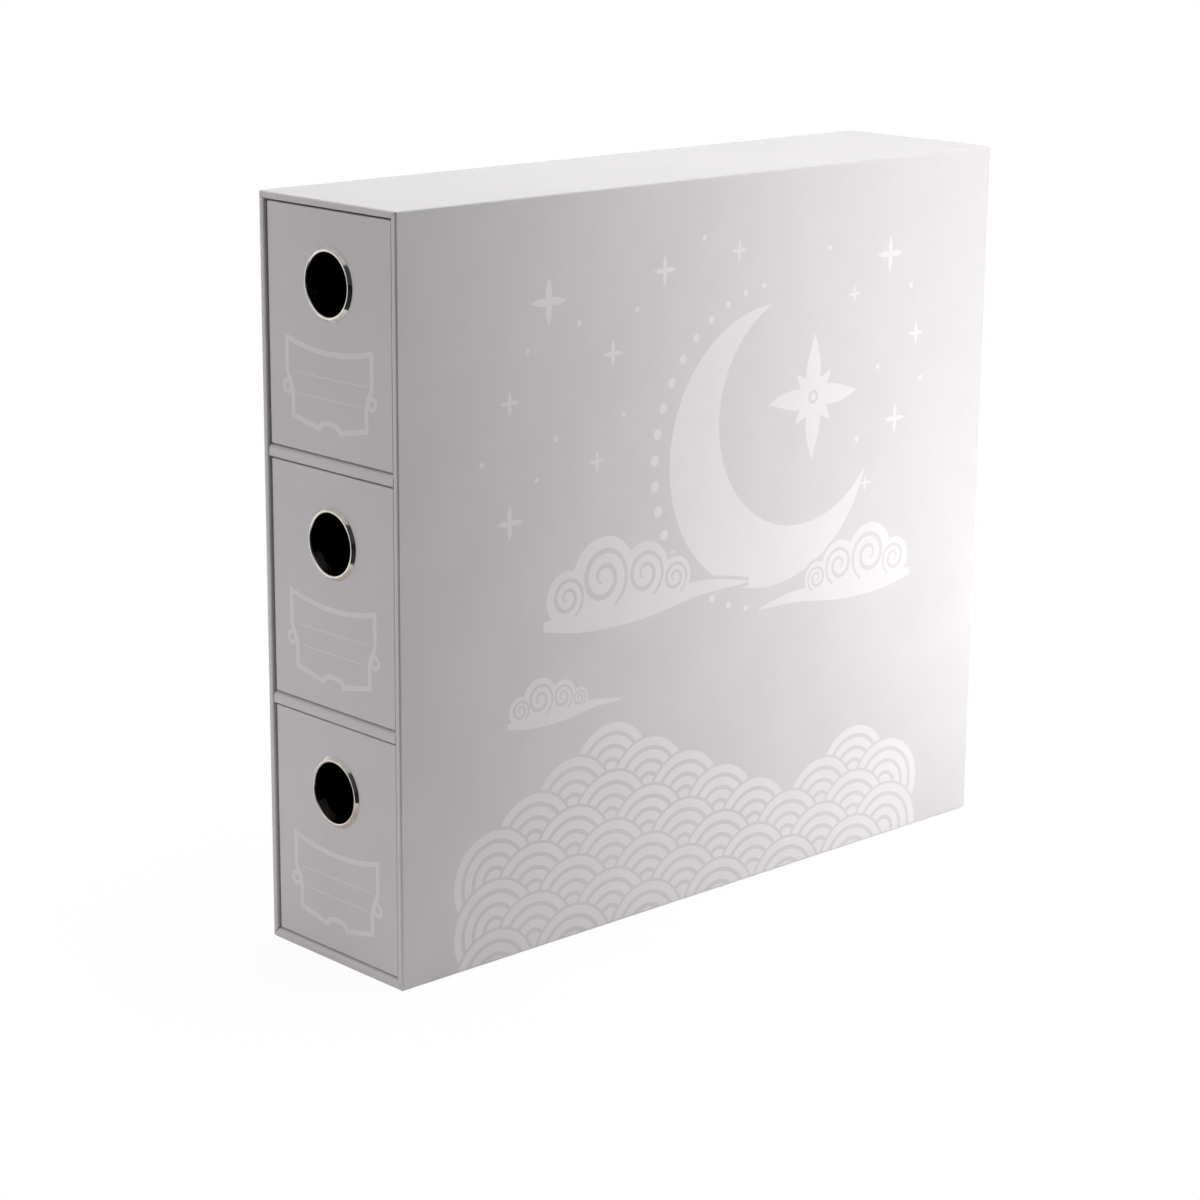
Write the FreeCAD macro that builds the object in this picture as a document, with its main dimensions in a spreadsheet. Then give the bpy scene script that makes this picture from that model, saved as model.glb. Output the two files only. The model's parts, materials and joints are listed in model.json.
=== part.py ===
"""Trading card drawer box: a rigid board shell on edge, with three card drawers one above the other.

The shell and the drawers are greyboard, glued at the edges and covered with paper. A covering is
made as the paper-thick space between two envelopes: the boards alone, and the boards with paper on.
The frame is in millimetres: +Z up, drawer fronts facing -Y, origin at the middle of the base.
"""

import FreeCAD, Part
import os
import Sketcher

from FreeCAD import Vector

SIZES = [
    ("shell_width", "82", "outside, left to right"),
    ("shell_depth", "335", "outside, front to back"),
    ("shell_height", "303", "outside, base to top"),
    ("shell_board", "2.5", "greyboard of the shell's top, sides and back"),
    ("base_board", "3.5", "greyboard of the shell's base"),
    ("shelf_board", "4.2", "greyboard of the two shelves"),
    ("drawer_board", "2", "greyboard of the drawers"),
    ("paper_sheet", "0.25", "every covering and lining paper"),
    ("shell_edge_round", "0.8", "outside edges of the covered shell"),
    ("mouth_round", "1", "top and side edges of the shell's open front"),
    ("ledge_round", "2", "front edge of the base and of each shelf, above"),
    ("turn_in", "18", "covering paper turned into the mouth"),
    ("back_lap", "4", "covering paper turned onto the back"),
    ("seam_gap", "0.12", "opening of a mitred paper seam"),
    ("shelf_setback", "0.3", "shelf front behind the shell's front"),
    ("shelf_round", "0.6", "front edge of a shelf, below"),
    ("shelf_end_gap", "0.15", "glue line at each end of a shelf"),
    ("front_recess", "1", "drawer front behind the shell's front"),
    ("side_clearance", "0.8", "drawer to shell, each side"),
    ("floor_clearance", "0.5", "drawer to the floor of its bay"),
    ("head_clearance", "0.7", "drawer to the ceiling of its bay"),
    ("back_clearance", "1.3", "closed drawer to the back of its bay"),
    ("drawer_edge_round", "0.45", "edges of a covered drawer"),
    ("rim_turn_in", "3", "covering paper turned in over the rim"),
    ("ring_bore", "25", "clear diameter of a finger ring"),
    ("ring_wall", "0.45", "sheet metal of a ring's barrel"),
    ("ring_rim", "1.8", "width of a ring's rim round its bore"),
    ("ring_height", "1.55", "ring's rim in front of the paper"),
    ("ring_rim_round", "1.2", "outer shoulder of the rim"),
    ("ring_lip_round", "0.35", "inner lip of the rim"),
    ("ring_drop", "27.9", "drawer rim down to the ring's axis"),
    ("barrel_clearance", "0.1", "ring barrel to its hole"),
    ("washer_rim", "1.85", "width of the washer round its hole"),
    ("washer_sheet", "0.4", "thickness of the washer"),
    ("clinch_rim", "0.95", "barrel end rolled out over the washer"),
    ("clinch_sheet", "0.5", "thickness of the rolled end"),
]

LAYOUT = [
    ("half_width", "Sizes.shell_width / 2"),
    ("front", "-Sizes.shell_depth / 2"),
    ("back", "Sizes.shell_depth / 2"),
    ("shell_wall", "Sizes.shell_board + 2 * Sizes.paper_sheet"),
    ("board_half_width", "half_width - Sizes.paper_sheet"),
    ("board_front", "front + Sizes.paper_sheet"),
    ("board_back", "back - Sizes.paper_sheet"),
    ("board_base", "Sizes.paper_sheet"),
    ("board_top", "Sizes.shell_height - Sizes.paper_sheet"),
    ("bay_half_width", "half_width - shell_wall"),
    ("bay_back", "back - shell_wall"),
    ("bay_floor", "Sizes.base_board + 2 * Sizes.paper_sheet"),
    ("bay_ceiling", "Sizes.shell_height - shell_wall"),
    ("bare_half_width", "bay_half_width + Sizes.paper_sheet"),
    ("bare_back", "bay_back + Sizes.paper_sheet"),
    ("bare_floor", "bay_floor - Sizes.paper_sheet"),
    ("bare_ceiling", "bay_ceiling + Sizes.paper_sheet"),
    ("lining_front", "front + Sizes.turn_in"),
    ("shelf_thickness", "Sizes.shelf_board + 2 * Sizes.paper_sheet"),
    ("bay_height", "(bay_ceiling - bay_floor + shelf_thickness) / 3 - shelf_thickness"),
    ("bay_pitch", "bay_height + shelf_thickness"),
    ("shelf_half_width", "bay_half_width - Sizes.shelf_end_gap"),
    ("shelf_front", "front + Sizes.shelf_setback"),
    ("drawer_wall", "Sizes.drawer_board + 2 * Sizes.paper_sheet"),
    ("drawer_half_width", "bay_half_width - Sizes.side_clearance"),
    ("drawer_front", "front + Sizes.front_recess"),
    ("drawer_back", "bay_back - Sizes.back_clearance"),
    ("drawer_height", "bay_height - Sizes.floor_clearance - Sizes.head_clearance"),
    ("barrel_radius", "Sizes.ring_bore / 2 + Sizes.ring_wall"),
    ("hole_radius", "barrel_radius + Sizes.barrel_clearance"),
]

# From the lowest up.
DRAWERS = ("drawer_bottom", "drawer_middle", "drawer_top")
SHELVES = ("shelf_lower", "shelf_upper")

# How far a cutting shape runs past the face that it cuts.
OVERRUN = 1

# Two places nearer to each other than this are the same place.
SAME_PLACE = 1e-4

doc = FreeCAD.newDocument("trading_card_drawer_box")
nodes = []


def fill_sheet(name, rows):
    """Make a spreadsheet with one named row for each (alias, content, note)."""
    sheet = doc.addObject("Spreadsheet::Sheet", name)
    for number, row in enumerate(rows, start=1):
        alias, content, note = row
        sheet.set(f"A{number}", alias)
        sheet.set(f"B{number}", content)
        sheet.set(f"C{number}", note)
        sheet.setAlias(f"B{number}", alias)
    doc.recompute()
    return sheet


def value(formula):
    """The number that a formula of sheet values has in the present model."""
    return float(sizes.evalExpression(formula))


def keep(label, shape_object):
    """Name a finished sub-part and list it for export."""
    shape_object.Label = label
    nodes.append(shape_object)


def block(name, x, y, z):
    """A plain cuboid; x, y and z are each a pair of formulas, from and to."""
    box = doc.addObject("Part::Box", name)
    box.setExpression("Length", f"({x[1]}) - ({x[0]})")
    box.setExpression("Width", f"({y[1]}) - ({y[0]})")
    box.setExpression("Height", f"({z[1]}) - ({z[0]})")
    box.setExpression("Placement.Base.x", x[0])
    box.setExpression("Placement.Base.y", y[0])
    box.setExpression("Placement.Base.z", z[0])
    return box


def plane_sketch(body, name, role, offset):
    """A sketch on one of the body's own origin planes, moved along the plane's normal."""
    plane = next(each for each in body.Origin.OriginFeatures if each.Role == role)
    sketch = body.newObject("Sketcher::SketchObject", name)
    sketch.AttachmentSupport = [(plane, "")]
    sketch.MapMode = "FlatFace"
    sketch.setExpression("AttachmentOffset.Base.z", offset)
    return sketch


def draw_polygon(sketch, corners):
    """A closed outline whose corners are pairs of formulas for the sketch's own X and Y."""
    points = [Vector(value(across), value(along), 0) for across, along in corners]
    for index, point in enumerate(points):
        following = points[(index + 1) % len(points)]
        sketch.addGeometry(Part.LineSegment(point, following))
    for index in range(len(points)):
        following = (index + 1) % len(points)
        sketch.addConstraint(Sketcher.Constraint("Coincident", index, 2, following, 1))
    for index, corner in enumerate(corners):
        for kind, place, formula in zip(("DistanceX", "DistanceY"), points[index], corner):
            number = sketch.addConstraint(Sketcher.Constraint(kind, index, 1, place))
            name = f"corner_{index}_{kind}"
            sketch.renameConstraint(number, name)
            sketch.setExpression(f"Constraints.{name}", formula)


def draw_circle(sketch, height, radius):
    """A circle on the sketch's Y axis."""
    centre = Vector(0, value(height), 0)
    sketch.addGeometry(Part.Circle(centre, Vector(0, 0, 1), value(radius)))
    sketch.addConstraint(Sketcher.Constraint("PointOnObject", 0, 3, -2))
    number = sketch.addConstraint(Sketcher.Constraint("DistanceY", 0, 3, value(height)))
    sketch.renameConstraint(number, "height")
    sketch.setExpression("Constraints.height", height)
    number = sketch.addConstraint(Sketcher.Constraint("Radius", 0, value(radius)))
    sketch.renameConstraint(number, "radius")
    sketch.setExpression("Constraints.radius", radius)


def rectangle(x, y):
    """The four corners of a rectangle between two pairs of formulas."""
    return [(x[0], y[0]), (x[1], y[0]), (x[1], y[1]), (x[0], y[1])]


def pad(body, sketch, length, reverse=False):
    """Thicken a sketch along its plane's normal, or the other way."""
    feature = body.newObject("PartDesign::Pad", f"{sketch.Name}_pad")
    feature.Profile = sketch
    feature.Reversed = reverse
    feature.setExpression("Length", length)
    doc.recompute()
    return feature


def pocket(body, sketch, depth):
    """Sink a sketch into the body against its plane's normal."""
    before = body.Shape.Volume
    feature = body.newObject("PartDesign::Pocket", f"{sketch.Name}_pocket")
    feature.Profile = sketch
    feature.setExpression("Length", depth)
    doc.recompute()
    if feature.Shape.Volume >= before:
        raise RuntimeError(f"{feature.Name} removes nothing")
    return feature


def lies_in(edge, axis, place):
    """Whether an edge lies in the plane where one coordinate has one value."""
    box = edge.BoundBox
    low, high = {"x": (box.XMin, box.XMax), "y": (box.YMin, box.YMax), "z": (box.ZMin, box.ZMax)}[axis]
    return abs(low - place) < SAME_PLACE and abs(high - place) < SAME_PLACE


def edges_between(shape, planes, others):
    """Names of the edges that lie in a plane of each list; a plane is an (axis, formula) pair."""
    first = [(axis, value(formula)) for axis, formula in planes]
    second = [(axis, value(formula)) for axis, formula in others]
    names = []
    for number, edge in enumerate(shape.Edges, start=1):
        in_first = {plane for plane in first if lies_in(edge, *plane)}
        in_second = {plane for plane in second if lies_in(edge, *plane)}
        if in_first and in_second and len(in_first | in_second) >= 2:
            names.append(f"Edge{number}")
    return names


def fillet(body, name, edges, radius):
    """Fillet named edges of the body's last feature."""
    base = body.Tip
    feature = body.newObject("PartDesign::Fillet", name)
    feature.Base = (base, edges)
    feature.setExpression("Radius", radius)
    doc.recompute()


def round_edges(body, name, planes, others, radius):
    """Fillet the edges that lie in a plane of each list."""
    fillet(body, name, edges_between(body.Shape, planes, others), radius)


def sides(x, y, z):
    """The six planes of a cuboid."""
    return [(axis, place) for axis, pair in (("x", x), ("y", y), ("z", z)) for place in pair]


def common(name, *shapes):
    """What several shapes have in common."""
    result = doc.addObject("Part::MultiCommon", name)
    result.Shapes = list(shapes)
    result.Refine = True
    return result


def cut(name, base, *tools):
    """A shape less one or more others."""
    tool = tools[0]
    if len(tools) > 1:
        tool = doc.addObject("Part::MultiFuse", f"{name}_tools")
        tool.Shapes = list(tools)
    result = doc.addObject("Part::Cut", name)
    result.Base = base
    result.Tool = tool
    result.Refine = True
    return result


def both_ways(formula):
    """From minus to plus a formula."""
    return (f"-({formula})", formula)


def shell_envelope(name, x, y, z, hollow_x, hollow_back, hollow_z, inset):
    """A box on edge with one hollow open to the front; inset draws its rounded edges back."""
    body = doc.addObject("PartDesign::Body", name)
    outline = plane_sketch(body, f"{name}_outline", "XZ_Plane", f"-({y[0]})")
    draw_polygon(outline, rectangle(x, z))
    pad(body, outline, f"({y[1]}) - ({y[0]})", reverse=True)
    hollow = plane_sketch(body, f"{name}_hollow", "XZ_Plane", f"-({y[0]})")
    draw_polygon(hollow, rectangle(hollow_x, hollow_z))
    pocket(body, hollow, f"({hollow_back}) - ({y[0]})")
    outer = sides(x, y, z)
    round_edges(body, f"{name}_outside", outer, outer, f"Sizes.shell_edge_round - ({inset})")
    round_edges(body, f"{name}_ledge", [("y", y[0])], [("z", hollow_z[0])], f"Sizes.ledge_round - ({inset})")
    mouth = [("x", place) for place in hollow_x] + [("z", hollow_z[1])]
    round_edges(body, f"{name}_mouth", [("y", y[0])], mouth, f"Sizes.mouth_round - ({inset})")
    return body


def paper_seam(name, side, reach, depth):
    """A thin cutter along the mitre at a top front corner; side is -1 left or +1 right."""
    inner = f"Layout.bay_half_width - {OVERRUN}"
    half_gap = "Sizes.seam_gap / sqrt(2)"
    drop = f"Layout.bay_ceiling - {OVERRUN}"
    rise = f"{drop} + ({reach}) - ({inner})"
    corners = [
        (f"{side} * ({inner})", f"{drop} - {half_gap}"),
        (f"{side} * ({inner})", f"{drop} + {half_gap}"),
        (f"{side} * ({reach})", f"{rise} + {half_gap}"),
        (f"{side} * ({reach})", f"{rise} - {half_gap}"),
    ]
    body = doc.addObject("PartDesign::Body", name)
    outline = plane_sketch(body, f"{name}_outline", "XZ_Plane", f"-Layout.front + {OVERRUN}")
    draw_polygon(outline, corners)
    pad(body, outline, f"({depth}) + {OVERRUN}", reverse=True)
    return body


def base_wedge(name, spare):
    """The space of the base sheet, bounded by corner to corner mitres; spare widens it on both sides."""
    low = f"Layout.half_width + {OVERRUN} * Layout.shell_wall / Layout.bay_floor + {spare}"
    high = f"Layout.half_width - 4 * Layout.shell_wall + {spare}"
    rise = "4 * Layout.bay_floor"
    corners = [(f"-({low})", f"-{OVERRUN}"), (low, f"-{OVERRUN}"), (high, rise), (f"-({high})", rise)]
    body = doc.addObject("PartDesign::Body", name)
    outline = plane_sketch(body, f"{name}_outline", "XZ_Plane", f"-Layout.front + {OVERRUN}")
    draw_polygon(outline, corners)
    pad(body, outline, f"Sizes.shell_depth + 2 * {OVERRUN}", reverse=True)
    return body


def make_shell():
    """The five walls of the shell, their covering papers and the lining of the bays."""
    board_x = both_ways("Layout.board_half_width")
    board_y = ("Layout.board_front", "Layout.board_back")
    board_z = ("Layout.board_base", "Layout.board_top")
    bare_x = both_ways("Layout.bare_half_width")
    bare_z = ("Layout.bare_floor", "Layout.bare_ceiling")
    boards = shell_envelope(
        "shell_boards", board_x, board_y, board_z, bare_x, "Layout.bare_back", bare_z,
        "Sizes.paper_sheet",
    )
    covered = shell_envelope(
        "shell_covered", both_ways("Layout.half_width"), ("Layout.front", "Layout.back"),
        ("0", "Sizes.shell_height"),
        both_ways("Layout.bay_half_width"), "Layout.bay_back", ("Layout.bay_floor", "Layout.bay_ceiling"),
        "0",
    )

    walls = {
        "shell_top_board": (board_x, board_y, (bare_z[1], board_z[1])),
        "shell_bottom_board": (board_x, board_y, (board_z[0], bare_z[0])),
        "shell_left_board": ((board_x[0], bare_x[0]), board_y, bare_z),
        "shell_right_board": ((bare_x[1], board_x[1]), board_y, bare_z),
        "shell_back_board": (bare_x, ("Layout.bare_back", board_y[1]), bare_z),
    }
    for label, space in walls.items():
        region = block(f"{label}_space", *space)
        keep(label, common(label, boards, region))

    papers = cut("shell_papers", covered, boards)
    lined = block("shell_lined_space", bare_x, ("Layout.lining_front", "Layout.bare_back"), bare_z)
    back_x = both_ways("Layout.half_width - Sizes.back_lap")
    back_z = ("Sizes.back_lap", "Sizes.shell_height - Sizes.back_lap")
    back_panel = block("shell_back_space", back_x, ("Layout.board_back", "Layout.back"), back_z)
    seams = []
    for side, hand in ((-1, "left"), (1, "right")):
        strip_reach = f"Layout.half_width + {OVERRUN}"
        flap_reach = "Layout.bare_half_width + Sizes.paper_sheet"
        seams.append(paper_seam(f"{hand}_strip_seam", side, strip_reach, "Sizes.shell_edge_round / 2"))
        seams.append(paper_seam(f"{hand}_flap_seam", side, flap_reach, "Sizes.turn_in"))
    base_clear = base_wedge("base_mitre_clear", "Sizes.seam_gap")
    keep("shell_outer_wrap", cut("shell_outer_wrap", papers, lined, back_panel, base_clear, *seams))
    base_papers = common("shell_base_papers", papers, base_wedge("base_mitre", "0"))
    keep("shell_base_paper", cut("shell_base_paper", base_papers, lined, back_panel))
    keep("shell_back_paper", block("shell_back_paper", back_x, ("Layout.board_back", "Layout.back"), back_z))

    lining_y = ("Layout.lining_front", "Layout.bare_back")
    bay_x = both_ways("Layout.bay_half_width")
    bay_z = ("Layout.bay_floor", "Layout.bay_ceiling")
    linings = {
        "shell_lining_bottom": (bare_x, lining_y, (bare_z[0], bay_z[0])),
        "shell_lining_top": (bare_x, lining_y, (bay_z[1], bare_z[1])),
        "shell_lining_left": ((bare_x[0], bay_x[0]), lining_y, bay_z),
        "shell_lining_right": ((bay_x[1], bare_x[1]), lining_y, bay_z),
        "shell_lining_back": (bay_x, ("Layout.bay_back", "Layout.bare_back"), bay_z),
    }
    for label, space in linings.items():
        keep(label, block(label, *space))


def shelf_envelope(name, front, z, inset):
    """A shelf with its two front edges rounded; inset draws the rounds back."""
    x = both_ways("Layout.shelf_half_width")
    body = doc.addObject("PartDesign::Body", name)
    outline = plane_sketch(body, f"{name}_outline", "XY_Plane", z[0])
    draw_polygon(outline, rectangle(x, (front, "Layout.bay_back")))
    pad(body, outline, f"({z[1]}) - ({z[0]})")
    round_edges(body, f"{name}_under", [("y", front)], [("z", z[0])], f"Sizes.shelf_round - ({inset})")
    round_edges(body, f"{name}_ledge", [("y", front)], [("z", z[1])], f"Sizes.ledge_round - ({inset})")
    return body


def make_shelf(name, bays_below):
    """A board shelf and the sheet of paper folded round its front edge."""
    base = f"Layout.bay_floor + Layout.bay_height + {bays_below} * Layout.bay_pitch"
    top = f"{base} + Layout.shelf_thickness"
    board = shelf_envelope(
        f"{name}_board", "Layout.shelf_front + Sizes.paper_sheet",
        (f"{base} + Sizes.paper_sheet", f"{top} - Sizes.paper_sheet"), "Sizes.paper_sheet",
    )
    covered = shelf_envelope(f"{name}_covered", "Layout.shelf_front", (base, top), "0")
    keep(f"{name}_board", board)
    keep(f"{name}_paper", cut(f"{name}_paper", covered, board))


def drawer_envelope(name, inset, wall, base, rim, ring_height, radius):
    """A tray open at the top, with its edges rounded and a hole for the finger ring in its front."""
    x = both_ways(f"Layout.drawer_half_width - ({inset})")
    y = (f"Layout.drawer_front + ({inset})", f"Layout.drawer_back - ({inset})")
    hollow_x = both_ways(f"Layout.drawer_half_width - ({inset}) - ({wall})")
    hollow_y = (f"{y[0]} + ({wall})", f"{y[1]} - ({wall})")
    body = doc.addObject("PartDesign::Body", name)
    outline = plane_sketch(body, f"{name}_outline", "XY_Plane", base)
    draw_polygon(outline, rectangle(x, y))
    pad(body, outline, f"({rim}) - ({base})")
    hollow = plane_sketch(body, f"{name}_hollow", "XY_Plane", rim)
    draw_polygon(hollow, rectangle(hollow_x, hollow_y))
    pocket(body, hollow, f"({rim}) - ({base}) - ({wall})")
    outer = sides(x, y, (base, rim))
    round_edges(body, f"{name}_outside", outer, outer, radius)
    inner = [("x", place) for place in hollow_x] + [("y", place) for place in hollow_y]
    round_edges(body, f"{name}_rim", [("z", rim)], inner, radius)
    hole = plane_sketch(body, f"{name}_hole", "XZ_Plane", f"-(Layout.drawer_front) + {OVERRUN}")
    draw_circle(hole, ring_height, "Layout.hole_radius")
    pocket(body, hole, f"Layout.drawer_wall + 2 * {OVERRUN}")
    return body


def turned(name, height, profile, rounds=()):
    """A ring turned about the finger hole's axis; profile holds (radius, Y) pairs of formulas."""
    body = doc.addObject("PartDesign::Body", name)
    outline = plane_sketch(body, f"{name}_profile", "XY_Plane", height)
    draw_polygon(outline, profile)
    turn = body.newObject("PartDesign::Revolution", f"{name}_turn")
    turn.Profile = outline
    turn.ReferenceAxis = (outline, ["V_Axis"])
    turn.Angle = 360
    doc.recompute()
    for corner, radius in rounds:
        circle_radius, place = value(corner[0]), value(corner[1])
        names = [
            f"Edge{number}" for number, edge in enumerate(body.Shape.Edges, start=1)
            if lies_in(edge, "y", place) and hasattr(edge.Curve, "Radius")
            and abs(edge.Curve.Radius - circle_radius) < SAME_PLACE
        ]
        fillet(body, f"{name}_round", names, radius)
    return body


def make_finger_ring(name, height):
    """A flanged metal ring pushed through the drawer front and clinched over a washer behind it."""
    bore = "Sizes.ring_bore / 2"
    barrel = "Layout.barrel_radius"
    flange = f"{bore} + Sizes.ring_rim"
    clinch = f"{barrel} + Sizes.clinch_rim"
    seat = "Layout.drawer_front"
    nose = f"{seat} - Sizes.ring_height"
    behind = "Layout.drawer_front + Layout.drawer_wall"
    washer_back = f"{behind} + Sizes.washer_sheet"
    tail = f"{washer_back} + Sizes.clinch_sheet"
    profile = [
        (bore, nose), (flange, nose), (flange, seat), (barrel, seat),
        (barrel, washer_back), (clinch, washer_back), (clinch, tail), (bore, tail),
    ]
    rounds = [
        ((flange, nose), "Sizes.ring_rim_round"),
        ((bore, nose), "Sizes.ring_lip_round"),
        ((clinch, tail), "Sizes.clinch_sheet * 0.8"),
    ]
    keep(f"{name}_finger_ring", turned(f"{name}_finger_ring", height, profile, rounds))
    washer_x = ("Layout.hole_radius", "Layout.hole_radius + Sizes.washer_rim")
    washer = rectangle(washer_x, (behind, washer_back))
    keep(f"{name}_ring_washer", turned(f"{name}_ring_washer", height, washer))


def make_drawer(name, bays_below):
    """One drawer: five boards, the paper wrapped round them, the inner lining and the finger ring."""
    base = f"Layout.bay_floor + Sizes.floor_clearance + {bays_below} * Layout.bay_pitch"
    rim = f"{base} + Layout.drawer_height"
    ring_height = f"{rim} - Sizes.ring_drop"
    paper = "Sizes.paper_sheet"
    boards = drawer_envelope(
        f"{name}_boards", paper, "Sizes.drawer_board", f"{base} + {paper}", f"{rim} - {paper}",
        ring_height, f"Sizes.drawer_edge_round - {paper}",
    )
    covered = drawer_envelope(
        f"{name}_covered", "0", "Layout.drawer_wall", base, rim,
        ring_height, "Sizes.drawer_edge_round",
    )

    outer_x = both_ways("Layout.drawer_half_width")
    bare_x = both_ways(f"Layout.drawer_half_width - Layout.drawer_wall + {paper}")
    bare_front = f"Layout.drawer_front + Layout.drawer_wall - {paper}"
    bare_back = f"Layout.drawer_back - Layout.drawer_wall + {paper}"
    bare_floor = f"{base} + Layout.drawer_wall - {paper}"
    walls = {
        "front_board": (outer_x, ("Layout.drawer_front", bare_front), (base, rim)),
        "back_board": (outer_x, (bare_back, "Layout.drawer_back"), (base, rim)),
        "left_board": ((outer_x[0], bare_x[0]), (bare_front, bare_back), (base, rim)),
        "right_board": ((bare_x[1], outer_x[1]), (bare_front, bare_back), (base, rim)),
        "bottom_board": (bare_x, (bare_front, bare_back), (base, bare_floor)),
    }
    for part, space in walls.items():
        label = f"{name}_{part}"
        region = block(f"{label}_space", *space)
        keep(label, common(label, boards, region))

    papers = cut(f"{name}_papers", covered, boards)
    lined_z = (bare_floor, f"{rim} - Sizes.rim_turn_in")
    lined = block(f"{name}_lined_space", bare_x, (bare_front, bare_back), lined_z)
    keep(f"{name}_wrap", cut(f"{name}_wrap", papers, lined))
    keep(f"{name}_lining", common(f"{name}_lining", papers, lined))
    make_finger_ring(name, ring_height)


def check_and_export():
    """Stop on any failed feature or unsound solid, then write one STEP file for each sub-part."""
    failed = [each.Name for each in doc.Objects if {"Invalid", "Error"} & set(each.State)]
    if failed:
        raise RuntimeError(f"failed features: {failed}")
    for node in nodes:
        shape = node.Shape
        if shape.isNull() or not shape.isValid() or len(shape.Solids) != 1:
            raise RuntimeError(f"{node.Label} is not one sound solid")
    os.makedirs("parts", exist_ok=True)
    for node in nodes:
        node.Shape.exportStep(f"parts/{node.Label}.step")


sizes = fill_sheet("Sizes", SIZES)
fill_sheet("Layout", [(alias, f"={formula}", "worked out from Sizes") for alias, formula in LAYOUT])

make_shell()
for bays_below, shelf in enumerate(SHELVES):
    make_shelf(shelf, bays_below)
for bays_below, drawer in enumerate(DRAWERS):
    make_drawer(drawer, bays_below)
doc.recompute()
check_and_export()
print(f"{len(nodes)} sub-parts written")
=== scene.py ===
"""Looks of the trading card drawer box: covering paper, greyboard, linings, finger rings and print."""

import json
import logging
import math
from dataclasses import dataclass, field
from enum import Enum
from typing import Sequence

import bmesh
import bpy
import numpy as np
from mathutils import Matrix, Vector
from mathutils.geometry import delaunay_2d_cdt


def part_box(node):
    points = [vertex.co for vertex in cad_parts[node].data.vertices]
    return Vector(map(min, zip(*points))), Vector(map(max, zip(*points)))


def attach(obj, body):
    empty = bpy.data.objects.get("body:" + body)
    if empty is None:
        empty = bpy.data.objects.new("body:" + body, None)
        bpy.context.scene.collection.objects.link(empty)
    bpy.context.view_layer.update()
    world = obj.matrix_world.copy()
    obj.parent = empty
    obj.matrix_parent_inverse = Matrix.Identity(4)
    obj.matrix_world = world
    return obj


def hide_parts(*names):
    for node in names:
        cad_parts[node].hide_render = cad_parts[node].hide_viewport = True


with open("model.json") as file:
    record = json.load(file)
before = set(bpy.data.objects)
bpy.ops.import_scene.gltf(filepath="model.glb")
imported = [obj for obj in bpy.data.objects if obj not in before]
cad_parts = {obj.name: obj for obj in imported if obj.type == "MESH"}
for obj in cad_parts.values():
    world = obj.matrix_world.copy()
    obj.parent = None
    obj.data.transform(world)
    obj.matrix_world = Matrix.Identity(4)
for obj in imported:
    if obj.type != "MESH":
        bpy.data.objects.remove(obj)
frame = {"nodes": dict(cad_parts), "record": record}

LOG = logging.getLogger("drawer_box")
MM = 0.001
Colour = tuple[float, float, float]
Place = tuple[float, float, float]
Point = tuple[float, float]
Socket = bpy.types.NodeSocket
Sockets = bpy.types.bpy_prop_collection
WHITE: Colour = (1.0, 1.0, 1.0)
COOL: Colour = (0.96, 1.0, 0.98)
COOLER: Colour = (0.945, 1.0, 0.975)
OPEN_SIDE: Place = (0.728, -0.686, 0.0)     # the way that the dark, open side of the studio lies


class Slot(Enum):
    """Material slots of the record."""

    PAPER = "covering_paper"
    BOARD = "greyboard"
    LINING = "lining_paper"
    METAL = "ring_metal"


class Drawer(Enum):
    """The three drawers, each with the name of the body that it is."""

    TOP = "drawer_top"
    MIDDLE = "drawer_middle"
    BOTTOM = "drawer_bottom"


def srgb(red: int, green: int, blue: int) -> Colour:
    """Turn a display colour into linear values.

    Args:
        red: Red from 0 to 255.
        green: Green from 0 to 255.
        blue: Blue from 0 to 255.

    Returns:
        The colour as three linear numbers from 0 to 1.
    """
    def linear(value: float) -> float:
        """One channel, from 0 to 1."""
        return value / 12.92 if value <= 0.04045 else ((value + 0.055) / 1.055) ** 2.4

    return tuple(linear(channel / 255.0) for channel in (red, green, blue))


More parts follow.
